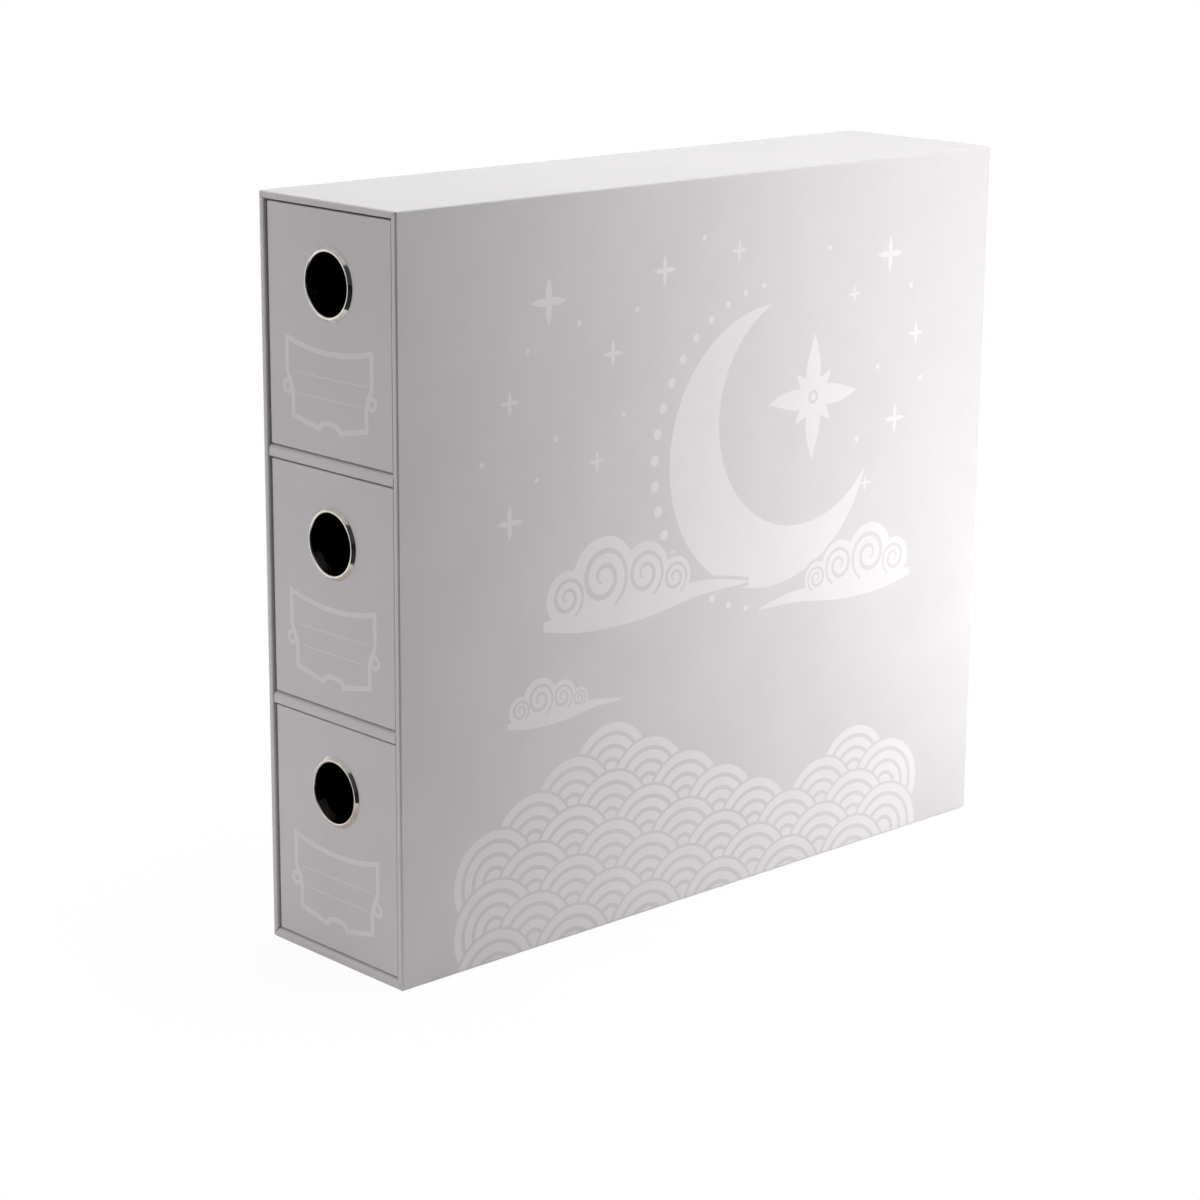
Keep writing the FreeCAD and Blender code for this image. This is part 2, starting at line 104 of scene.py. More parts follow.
class NodeTree:
    """A node tree with short ways to add nodes and join them."""

    def __init__(self, tree: bpy.types.NodeTree) -> None:
        """Start from an existing tree.

        Args:
            tree: The tree to add to.
        """
        self.tree = tree

    def feed(self, node: bpy.types.Node, values: dict) -> None:
        """Set a node's inputs, or join other nodes to them.

        Args:
            node: The node.
            values: Socket name or number to a value, or to an output socket to join.
        """
        for name, value in values.items():
            socket = node.inputs[name]
            if isinstance(value, Socket):
                self.tree.links.new(value, socket)
            else:
                socket.default_value = (*value, 1.0) if socket.type == "RGBA" else value

    def add(self, kind: str, values: dict | None = None, **settings: object) -> bpy.types.Node:
        """Add a node.

        Args:
            kind: The node's type name.
            values: Socket name or number to a value, or to an output socket to join.
            settings: Properties of the node.

        Returns:
            The new node.
        """
        node = self.tree.nodes.new(kind)
        for name, setting in settings.items():
            setattr(node, name, setting)
        self.feed(node, values or {})
        return node

    def math(self, operation: str, *values: object, clamp: bool = False) -> Socket:
        """Work out a number.

        Args:
            operation: The sum to do.
            values: Numbers or sockets.
            clamp: Whether to keep the result between 0 and 1.

        Returns:
            The result's socket.
        """
        inputs = dict(enumerate(values))
        return self.add("ShaderNodeMath", inputs, operation=operation, use_clamp=clamp).outputs[0]

    def vector(self, operation: str, *values: object, output: str = "Vector") -> Socket:
        """Work out a vector, or a number from vectors.

        Args:
            operation: The sum to do.
            values: Vectors or sockets.
            output: Name of the output to use.

        Returns:
            The result's socket.
        """
        return self.add("ShaderNodeVectorMath", dict(enumerate(values)), operation=operation).outputs[output]

    def ramp(self, value: Socket, low: float, high: float, to_low: float = 0.0,
             to_high: float = 1.0) -> Socket:
        """Map a value smoothly from one range to another.

        Args:
            value: The socket to read.
            low: Start of the range that is read.
            high: End of the range that is read.
            to_low: Result at the start.
            to_high: Result at the end.

        Returns:
            The result's socket.
        """
        values = {"Value": value, "From Min": low, "From Max": high, "To Min": to_low, "To Max": to_high}
        return self.add("ShaderNodeMapRange", values, interpolation_type="SMOOTHSTEP").outputs[0]

    def spread(self, mask: Socket, low: float, high: float) -> Socket:
        """Turn a mask into an even range of values.

        Args:
            mask: The mask, from 0 to 1.
            low: Result at 0.
            high: Result at 1.

        Returns:
            The result's socket.
        """
        return self.add("ShaderNodeMapRange", {"Value": mask, "To Min": low, "To Max": high}).outputs[0]

    def mix(self, share: Socket, first: Socket | Colour, second: Socket | Colour) -> Socket:
        """Mix two colours.

        Args:
            share: Share of the second colour.
            first: Colour at 0.
            second: Colour at 1.

        Returns:
            The mixed colour's socket.
        """
        return self.add("ShaderNodeMix", {0: share, 6: first, 7: second}, data_type="RGBA").outputs[2]

    def place(self) -> Socket:
        """Where a point lies, in its piece's own coordinates."""
        return self.add("ShaderNodeTexCoord").outputs["Object"]

    def noise(self, place: Socket, scale: float | Socket, detail: float, roughness: float = 0.5,
              distortion: float = 0.0) -> Socket:
        """Soft random patches.

        Args:
            place: Where to read the pattern.
            scale: How fine it is.
            detail: How many finer patterns are laid over it.
            roughness: How strong those are.
            distortion: How far it is stirred.

        Returns:
            The pattern's socket, about 0.5 in the middle.
        """
        values = {
            "Vector": place, "Scale": scale, "Detail": detail, "Roughness": roughness,
            "Distortion": distortion,
        }
        return self.add("ShaderNodeTexNoise", values).outputs["Fac"]

    def bump(self, height: Socket, strength: float, distance: float) -> Socket:
        """Tilt the surface by a height.

        Args:
            height: The height, from 0 to about 1.
            strength: Share of the tilt that is used.
            distance: Real height at 1, in metres.

        Returns:
            The normal's socket.
        """
        values = {"Height": height, "Strength": strength, "Distance": distance}
        return self.add("ShaderNodeBump", values).outputs[0]

    def share(self, effect: "Effect", values: dict) -> Sockets:
        """Place an effect that several materials share.

        Args:
            effect: The effect.
            values: Its own values here, by input name.

        Returns:
            The effect's output sockets.
        """
        return self.add("ShaderNodeGroup", values, node_tree=effect.tree()).outputs

    def rays(self) -> tuple[Socket, Socket]:
        """Tell apart the kinds of ray that reach a surface.

        Returns:
            The mask of rays from the camera, and of rays from a mirror or through glass.
        """
        path = self.add("ShaderNodeLightPath").outputs
        return path["Is Camera Ray"], self.math("MAXIMUM", path["Is Glossy Ray"], path["Is Transmission Ray"])


def add_piece(name: str, mesh: bpy.types.Mesh, body: str, node: str) -> bpy.types.Object:
    """Put a finished mesh in the scene, in place of a solid.

    Args:
        name: Name of the piece.
        mesh: Its mesh.
        body: The body that it rides on.
        node: The solid's node.

    Returns:
        The piece.
    """
    piece = bpy.data.objects.new(name, mesh)
    bpy.context.scene.collection.objects.link(piece)
    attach(piece, body)
    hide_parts(node)
    return piece


class Effect:
    """An effect that several materials share: a shader node group, built once."""

    name: str
    inputs: dict[str, str]
    outputs: tuple[str, ...]

    def tree(self) -> bpy.types.NodeTree:
        """Find the group, or build it the first time.

        Returns:
            The group.
        """
        if self.name in bpy.data.node_groups:
            return bpy.data.node_groups[self.name]
        group = bpy.data.node_groups.new(self.name, "ShaderNodeTree")
        for label, kind in self.inputs.items():
            group.interface.new_socket(label, in_out="INPUT", socket_type=f"NodeSocket{kind}")
        for label in self.outputs:
            group.interface.new_socket(label, in_out="OUTPUT", socket_type="NodeSocketFloat")
        nodes = NodeTree(group)
        nodes.add("NodeGroupOutput", self.wire(nodes, nodes.add("NodeGroupInput").outputs))
        return group

    def wire(self, nodes: NodeTree, inputs: Sockets) -> dict[str, Socket]:
        """Add the effect's nodes.

        Args:
            nodes: The group's node tree.
            inputs: The group's inputs.

        Returns:
            A socket for each of the group's outputs.
        """
        raise NotImplementedError


class PaperGrain(Effect):
    """The small unevenness that every paper and board here has."""

    name = "paper_grain"
    inputs = {"Fibre Scale": "Float", "Cloud Scale": "Float", "Stretch": "Float"}
    outputs = ("Fibre", "Cloud", "Height")

    def wire(self, nodes: NodeTree, inputs: Sockets) -> dict[str, Socket]:
        """Lay drawn-out fibres over clouds of tone and a gentle waviness.

        Args:
            nodes: The group's node tree.
            inputs: The group's inputs.

        Returns:
            Fibre and Cloud from 0 to 1, and Height for a bump.
        """
        place = nodes.place()
        squeeze = nodes.add("ShaderNodeCombineXYZ", {0: 1.0, 1: 1.0, 2: inputs["Stretch"]}).outputs[0]
        fibre = nodes.noise(nodes.vector("MULTIPLY", place, squeeze), inputs["Fibre Scale"], 5.0, 0.62, 0.8)
        cloud = nodes.noise(place, inputs["Cloud Scale"], 3.0)
        height = nodes.math("ADD", nodes.math("MULTIPLY", fibre, 0.25), nodes.noise(place, 60.0, 1.0))
        fibre, cloud = nodes.ramp(fibre, 0.25, 0.75), nodes.ramp(cloud, 0.3, 0.7)
        return {"Fibre": fibre, "Cloud": cloud, "Height": height}


class BoxEffect(Effect):
    """An effect along the edges of a box, which is given by its middle and half its size."""

    @staticmethod
    def insets(nodes: NodeTree, inputs: Sockets) -> tuple[Sockets, Sockets]:
        """Measure where a point lies in the box.

        Args:
            nodes: The group's node tree.
            inputs: The group's inputs.

        Returns:
            Along each axis, the distance from the middle, and how far inside the nearer side it is.
        """
        offset = nodes.vector("SUBTRACT", nodes.place(), inputs["Middle"])
        inside = nodes.vector("SUBTRACT", inputs["Half Size"], nodes.vector("ABSOLUTE", offset))
        return tuple(nodes.add("ShaderNodeSeparateXYZ", {0: vector}).outputs for vector in (offset, inside))


class EdgeRub(BoxEffect):
    """Faint rubbing along a box's edges."""

    name = "edge_rub"
    inputs = {"Half Size": "Vector", "Middle": "Vector", "Reach": "Float"}
    outputs = ("Rub",)

    def wire(self, nodes: NodeTree, inputs: Sockets) -> dict[str, Socket]:
        """Rub where two sides are near, in broken patches.

        Args:
            nodes: The group's node tree.
            inputs: The group's inputs.

        Returns:
            Rub, which is 1 where the edge is worn most.
        """
        _, near = self.insets(nodes, inputs)
        shares = (nodes.math("DIVIDE", distance, inputs["Reach"]) for distance in near)
        x, y, z = (nodes.ramp(share, 0.0, 1.0, 1.0, 0.0) for share in shares)
        upright, across, along = (nodes.math("MULTIPLY", *pair) for pair in ((x, y), (y, z), (x, z)))
        edge = nodes.math("MAXIMUM", nodes.math("MAXIMUM", upright, across), along)
        patches = nodes.ramp(nodes.noise(nodes.place(), 140.0, 6.0, 0.7), 0.42, 0.68)
        return {"Rub": nodes.math("MULTIPLY", edge, patches, clamp=True)}


class MitreSeam(BoxEffect):
    """The seams where the covering's turn-ins meet at the corners of the box's mouth."""

    name = "mitre_seam"
    inputs = {
        "Half Size": "Vector", "Middle": "Vector", "Wall": "Float", "Base": "Float", "Width": "Float",
        "Depth": "Float",
    }
    outputs = ("Seam",)

    def wire(self, nodes: NodeTree, inputs: Sockets) -> dict[str, Socket]:
        """Run a line over the front edge from each outer corner to the inner one.

        Args:
            nodes: The group's node tree.
            inputs: The group's inputs.

        Returns:
            Seam, which is 1 along the seams.
        """
        offset, near = self.insets(nodes, inputs)
        upper = nodes.math("GREATER_THAN", offset["Z"], 0.0)
        low_slope = nodes.math("DIVIDE", inputs["Wall"], inputs["Base"])
        steeper = nodes.math("MULTIPLY", upper, nodes.math("SUBTRACT", 1.0, low_slope))
        seam_x = nodes.math("MULTIPLY", near["Z"], nodes.math("ADD", low_slope, steeper))
        gap = nodes.math("ABSOLUTE", nodes.math("SUBTRACT", near["X"], seam_x))
        line = nodes.ramp(nodes.math("DIVIDE", gap, inputs["Width"]), 0.3, 1.0, 1.0, 0.0)
        corner = nodes.math("LESS_THAN", near["X"], inputs["Wall"])
        forward = nodes.math("LESS_THAN", offset["Y"], 0.0)
        front = nodes.math("MULTIPLY", forward, nodes.math("LESS_THAN", near["Y"], inputs["Depth"]))
        return {"Seam": nodes.math("MULTIPLY", line, nodes.math("MULTIPLY", corner, front), clamp=True)}


class Finish:
    """A finish: one Principled BSDF, fed by the finish's own values."""

    name: str

    def material(self) -> bpy.types.Material:
        """Build the material.

        Returns:
            The material.
        """
        material = bpy.data.materials.new(self.name)
        material.use_nodes = True
        nodes = NodeTree(material.node_tree)
        nodes.feed(material.node_tree.nodes["Principled BSDF"], self.values(nodes))
        return material

    def values(self, nodes: NodeTree) -> dict[str, object]:
        """Work out what feeds the shader.

        Args:
            nodes: The material's node tree.

        Returns:
            Input name of the shader to a value or a socket.
        """
        raise NotImplementedError


@dataclass(frozen=True)
class PearlPaper(Finish):
    """Coated covering paper with a soft pearl gloss, faintly uneven, rubbed at the edges and mitred."""

    name: str = "covering_paper"
    pale: Colour = srgb(209, 203, 206)
    deep: Colour = srgb(203, 197, 200)
    rubbed: Colour = srgb(218, 213, 215)
    seam: Colour = srgb(150, 144, 147)
    smooth: float = 0.42
    rough: float = 0.5
    rub_reach: float = 0.0011
    wall: float = 0.003
    base: float = 0.004
    seam_width: float = 0.00028
    seam_depth: float = 0.0009

    def values(self, nodes: NodeTree) -> dict[str, object]:
        """Work out what feeds the shader.

        Args:
            nodes: The material's node tree.

        Returns:
            Input name of the shader to a value or a socket.
        """
        _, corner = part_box("shell_outer_wrap")
        half_height = corner.z / 2
        box = {"Middle": (0.0, 0.0, half_height), "Half Size": (corner.x, corner.y, half_height)}
        mitre = {"Wall": self.wall, "Base": self.base, "Width": self.seam_width, "Depth": self.seam_depth}
        grain = {"Fibre Scale": 1500.0, "Cloud Scale": 26.0, "Stretch": 0.5}
        fibre, cloud, height = nodes.share(PaperGrain(), grain)
        rub, = nodes.share(EdgeRub(), box | {"Reach": self.rub_reach})
        seam, = nodes.share(MitreSeam(), box | mitre)
        tone = nodes.math("ADD", nodes.math("MULTIPLY", fibre, 0.45), nodes.math("MULTIPLY", cloud, 0.55))
        colour = nodes.mix(tone, self.deep, self.pale)
        colour = nodes.mix(nodes.math("MULTIPLY", rub, 0.6), colour, self.rubbed)
        return {
            "Base Color": nodes.mix(nodes.math("MULTIPLY", seam, 0.7), colour, self.seam),
            "Metallic": 0.08,
            "Roughness": nodes.spread(tone, self.smooth, self.rough),
            "IOR": 1.5,
            "Normal": nodes.bump(height, 0.25, 0.00006),
        }


@dataclass(frozen=True)
class PearlInk(Finish):
    """Pale satin ink of the printed ornament."""

    name: str = "pearl_ink"
    pale: Colour = srgb(223, 218, 220)
    deep: Colour = srgb(219, 214, 216)

    def values(self, nodes: NodeTree) -> dict[str, object]:
        """Work out what feeds the shader.

        Args:
            nodes: The material's node tree.

        Returns:
            Input name of the shader to a value or a socket.
        """
        grain = {"Fibre Scale": 2200.0, "Cloud Scale": 60.0, "Stretch": 0.6}
        fibre, cloud, height = nodes.share(PaperGrain(), grain)
        tone = nodes.math("MULTIPLY", nodes.math("ADD", fibre, cloud), 0.5)
        return {
            "Base Color": nodes.mix(tone, self.deep, self.pale),
            "Metallic": 0.08,
            "Roughness": 0.46,
            "IOR": 1.45,
            "Normal": nodes.bump(height, 0.2, 0.00004),
        }


@dataclass(frozen=True)
class LiningPaper(Finish):
    """Plain black lining paper with short pale fibres pressed into it."""

    name: str = "lining_paper"
    pale: Colour = srgb(56, 54, 53)
    deep: Colour = srgb(34, 33, 33)

    def values(self, nodes: NodeTree) -> dict[str, object]:
        """Work out what feeds the shader.

        Args:
            nodes: The material's node tree.

        Returns:
            Input name of the shader to a value or a socket.
        """
        grain = {"Fibre Scale": 900.0, "Cloud Scale": 20.0, "Stretch": 0.4}
        fibre, cloud, height = nodes.share(PaperGrain(), grain)
        tone = nodes.math("MULTIPLY", fibre, nodes.math("MULTIPLY_ADD", cloud, 0.5, 0.5))
        return {
            "Base Color": nodes.mix(tone, self.deep, self.pale),
            "Roughness": nodes.spread(tone, 0.78, 0.62),
            "Specular IOR Level": 0.3,
            "Normal": nodes.bump(height, 0.5, 0.0001),
        }


@dataclass(frozen=True)
class Greyboard(Finish):
    """Recycled greyboard with dark and pale flecks."""

    name: str = "greyboard"
    ground: Colour = srgb(158, 152, 142)
    pale: Colour = srgb(182, 177, 166)
    fleck: Colour = srgb(92, 88, 84)

    def values(self, nodes: NodeTree) -> dict[str, object]:
        """Work out what feeds the shader.

        Args:
            nodes: The material's node tree.

        Returns:
            Input name of the shader to a value or a socket.
        """
        grain = {"Fibre Scale": 700.0, "Cloud Scale": 90.0, "Stretch": 0.5}
        fibre, cloud, height = nodes.share(PaperGrain(), grain)
        spots = nodes.add("ShaderNodeTexVoronoi", {"Vector": nodes.place(), "Scale": 420.0})
        cores = nodes.ramp(spots.outputs["Distance"], 0.1, 0.28, 1.0, 0.0)
        flecks = nodes.math("MULTIPLY", cores, cloud)
        return {
            "Base Color": nodes.mix(flecks, nodes.mix(fibre, self.ground, self.pale), self.fleck),
            "Roughness": 0.92,
            "Specular IOR Level": 0.2,
            "Normal": nodes.bump(height, 0.6, 0.00015),
        }


@dataclass(frozen=True)
class Nickel(Finish):
    """Bright nickel plate with fine scratches and faint finger marks."""

    name: str = "ring_metal"
    pale: Colour = srgb(232, 229, 224)
    deep: Colour = srgb(216, 212, 206)

    def values(self, nodes: NodeTree) -> dict[str, object]:
        """Work out what feeds the shader.

        Args:
            nodes: The material's node tree.

        Returns:
            Input name of the shader to a value or a socket.
        """
        place = nodes.place()
        marks = nodes.ramp(nodes.noise(place, 240.0, 3.0), 0.35, 0.65)
        scratches = nodes.noise(place, 5200.0, 2.0, distortion=2.0)
        return {
            "Base Color": nodes.mix(marks, self.pale, self.deep),
            "Metallic": 1.0,
            "Roughness": nodes.spread(marks, 0.06, 0.13),
            "Normal": nodes.bump(scratches, 0.06, 0.00001),
        }


class Finishes:
    """One material of each finish."""

    def __init__(self) -> None:
        """Make every material."""
        self.slots = {
            Slot.PAPER: PearlPaper().material(),
            Slot.BOARD: Greyboard().material(),
            Slot.LINING: LiningPaper().material(),
            Slot.METAL: Nickel().material(),
        }
        self.ink = PearlInk().material()

    def dress(self) -> dict[str, Slot]:
        """Put the materials on the solids.

        Returns:
            The slot of each solid, by the name of its node.
        """
        dressed = {entry["node"]: Slot(entry["material_slot"]) for entry in frame["record"]["subparts"]}
        for node, slot in dressed.items():
            mesh = frame["nodes"][node].data
            mesh.materials.clear()
            mesh.materials.append(self.slots[slot])
        return dressed


@dataclass(frozen=True)
class Outline:
    """A closed outline on a flat side, in millimetres; a later one covers the earlier ones."""

    points: np.ndarray
    inked: bool = True

    def holds(self, places: np.ndarray) -> np.ndarray:
        """Which places lie inside the outline.

        Args:
            places: Points, one row each.

        Returns:
            True for each place that the outline winds round.
        """
        low, high = self.points.min(axis=0), self.points.max(axis=0)
        found = np.all((places > low) & (places < high), axis=1)
        inside = places[found]
        start, end = self.points, np.roll(self.points, -1, axis=0)
        turn = (end[:, 0] - start[:, 0]) * (inside[:, 1:2] - start[:, 1])
        turn -= (inside[:, 0:1] - start[:, 0]) * (end[:, 1] - start[:, 1])
        rising = (start[:, 1] <= inside[:, 1:2]) & (end[:, 1] > inside[:, 1:2]) & (turn > 0)
        falling = (start[:, 1] > inside[:, 1:2]) & (end[:, 1] <= inside[:, 1:2]) & (turn < 0)
        found[found] = rising.sum(axis=1) != falling.sum(axis=1)
        return found


def smooth_path(points: Sequence[Point], steps: int) -> np.ndarray:
    """Draw a smooth line through points.

    Args:
        points: The points to pass through.
        steps: Pieces between one point and the next.

    Returns:
        The line's points, one row each.
    """
    knots = np.array(points, float)
    knots = np.vstack([2 * knots[0] - knots[1], knots, 2 * knots[-1] - knots[-2]])
    line = []
    for before, start, end, after in zip(knots, knots[1:], knots[2:], knots[3:]):
        for share in np.arange(steps) / steps:
            line.append(0.5 * (
                2 * start + (end - before) * share + (2 * before - 5 * start + 4 * end - after) * share ** 2
                + (3 * start - before - 3 * end + after) * share ** 3
            ))
    return np.array([*line, knots[-2]])


def ring_points(middle: Point, radius: float, steps: int) -> np.ndarray:
    """Points round a circle.

    Args:
        middle: Its centre.
        radius: Its radius.
        steps: Number of points.

    Returns:
        The points, one row each.
    """
    turns = np.arange(steps) * 2 * math.pi / steps
    return np.array(middle) + radius * np.column_stack([np.cos(turns), np.sin(turns)])


def ribbon(path: np.ndarray, widths: np.ndarray) -> np.ndarray:
    """Outline of a band along a path.

    Args:
        path: Points along its middle.
        widths: Width at each point.

    Returns:
        The outline's points, one row each.
    """
    along = np.gradient(path, axis=0)
    along /= np.linalg.norm(along, axis=1)[:, None]
    across = np.column_stack([-along[:, 1], along[:, 0]]) * widths[:, None] / 2
    return np.vstack([path - across, (path + across)[::-1]])


def mitred(path: Sequence[Point], distance: float) -> np.ndarray:
    """A closed path moved sideways, with sharp corners.

    Args:
        path: The path's points.
        distance: How far it moves to its left.

    Returns:
        The moved points, one row each.
    """
    points = np.array(path, float)
    before, after = points - np.roll(points, 1, axis=0), np.roll(points, -1, axis=0) - points
    before /= np.linalg.norm(before, axis=1)[:, None]
    after /= np.linalg.norm(after, axis=1)[:, None]
    bisector = np.column_stack([-before[:, 1] - after[:, 1], before[:, 0] + after[:, 0]])
    bisector /= np.maximum((bisector ** 2).sum(axis=1) / 2, 0.35)[:, None]
    return points + bisector * distance


@dataclass
class LabelPrint:
    """The printed frame for a handwritten label; a drop is a depth below the drawer's rim."""

    middle: float = -0.5
    stroke: float = 2.1
    half_width: float = 25.7
    corner_drop: float = 51.0
    sag: float = 3.4
    neck: tuple[Point, ...] = (       # half the width at each drop, where the sides draw in past the loops
        (25.7, 63.4), (25.15, 65.6), (23.8, 67.6), (23.05, 69.4), (22.35, 71.6), (22.3, 73.6),
    )
    foot: tuple[Point, ...] = ((22.3, 80.9), (6.4, 84.2))
    scallop: Point = (5.6, 81.4)
    scallop_lip: float = 0.9
    loop: Point = (25.65, 70.1)
    loop_radius: float = 3.05
    loop_hole: float = 1.3
    lines: tuple[Point, ...] = ((64.0, 21.8), (72.1, 18.7))
    line_width: float = 0.42

    def right_half(self) -> list[Point]:
        """Middle line of the frame's right half, from the top edge's middle to the scallop's.

        Returns:
            The points, as distance to the right and drop.
        """
        top = [
            (self.half_width * share, self.corner_drop + self.sag * (1 - share ** 2))
            for share in np.linspace(0.0, 1.0, 15)
        ]
        reach, top_drop = self.scallop
        low_drop = self.foot[-1][1] - self.scallop_lip
        scallop = [
            (reach * math.cos(turn), low_drop - (low_drop - top_drop) * math.sin(turn) ** 0.8)
            for turn in np.linspace(0.12, math.pi / 2, 10)
        ]
        return [*top, *map(tuple, smooth_path(self.neck, 6)), *self.foot, *scallop]

    def outlines(self, rim: float) -> list[Outline]:
        """The print's outlines on a drawer front.

        Args:
            rim: Height of the drawer's rim.

        Returns:
            The outlines, in the front's own plane.
        """
        right = self.right_half()
        around = right + [(-x, drop) for x, drop in reversed(right[1:-1])]
        path = [(self.middle + x, rim - drop) for x, drop in around]
        found = [Outline(mitred(path, self.stroke / 2)), Outline(mitred(path, -self.stroke / 2), inked=False)]
        for side in (-1, 1):
            centre = (self.middle + side * self.loop[0], rim - self.loop[1])
            found.append(Outline(ring_points(centre, self.loop_radius, 40)))
            found.append(Outline(ring_points(centre, self.loop_hole, 28), inked=False))
        for drop, reach in self.lines:
            ends = np.array([(self.middle - reach, rim - drop), (self.middle + reach, rim - drop)])
            found.append(Outline(ribbon(ends, np.full(2, self.line_width))))
        return found


@dataclass(frozen=True)
class Star:
    """A star with hollow sides; turn is the angle of its first point from upright, in degrees."""

    middle: Point
    reach: float
    waist: float
    turn: float = 0.0
    points: int = 4

    def outline(self) -> Outline:
        """Draw the star.

        Returns:
            Its outline.
        """
        corners = []
        for index in range(2 * self.points):
            inwards = index % 2 == 0
            start = math.radians(90.0 + self.turn + index * 180.0 / self.points)
            far, near = (self.reach, self.waist) if inwards else (self.waist, self.reach)
            for share in np.arange(6) / 6:
                distance = far + (near - far) * share ** (0.6 if inwards else 1.7)
                angle = start + share * math.pi / self.points
                corners.append((distance * math.cos(angle), distance * math.sin(angle)))
        return Outline(np.array(self.middle) + np.array(corners))


@dataclass(frozen=True)
class Cloud:
    """A curling cloud with a long tail; its puffs and tail are in radii of its main curl."""

    middle: Point
    size: float
    side: int = 1
    halo: float = 1.5
    puffs: tuple[Place, ...] = (
        (0.0, 0.0, 1.0), (1.35, -0.12, 0.78), (-1.15, -0.3, 0.66), (2.35, -0.38, 0.52), (0.55, -0.55, 0.62),
        (-0.5, -0.6, 0.5), (1.7, -0.62, 0.42),
    )
    curls: int = 4
    curl_width: float = 0.13
    tail: tuple[Point, ...] = ((-1.9, -0.86), (-0.6, -0.98), (1.2, -0.98), (3.2, -0.8), (4.9, -0.92))
    tail_width: float = 0.5
    steps: int = 56

    def at(self, x: float, z: float) -> Point:
        """A place of the cloud on the box's side."""
        return (self.middle[0] + self.side * x * self.size, self.middle[1] + z * self.size)

    def outlines(self) -> list[Outline]:
        """Draw the cloud, with a clear margin round it.

        Returns:
            Its outlines.
        """
        discs = [(self.at(x, z), radius * self.size) for x, z, radius in self.puffs]
        tail = smooth_path([self.at(x, z) for x, z in self.tail], 12)
        swell = np.sin(np.linspace(0.12, 1.0, len(tail)) * math.pi) ** 0.8
        width = self.size * self.tail_width * swell + 0.3
        found = [
            Outline(ring_points(centre, radius + self.halo, self.steps), inked=False)
            for centre, radius in discs
        ]
        found.append(Outline(ribbon(tail, width + 2 * self.halo), inked=False))
        found += [Outline(ring_points(centre, radius, self.steps)) for centre, radius in discs]
        found.append(Outline(ribbon(tail, width)))
        return found + [self.curl(centre, radius) for centre, radius in discs[:self.curls]]

    def curl(self, centre: Point, radius: float) -> Outline:
        """Draw the clear curl in a puff.

        Args:
            centre: The puff's centre.
            radius: The puff's radius.

        Returns:
            The curl's outline.
        """
        turns = np.linspace(-0.35, 3.4, 46) * math.pi
        reach = radius * np.linspace(0.8, 0.12, len(turns))
        line = np.array(centre) + np.column_stack([self.side * reach * np.cos(turns), reach * np.sin(turns)])
        swell = np.sin(np.linspace(0.15, 0.95, len(turns)) * math.pi)
        return Outline(ribbon(line, radius * self.curl_width * swell + 0.35), inked=False)


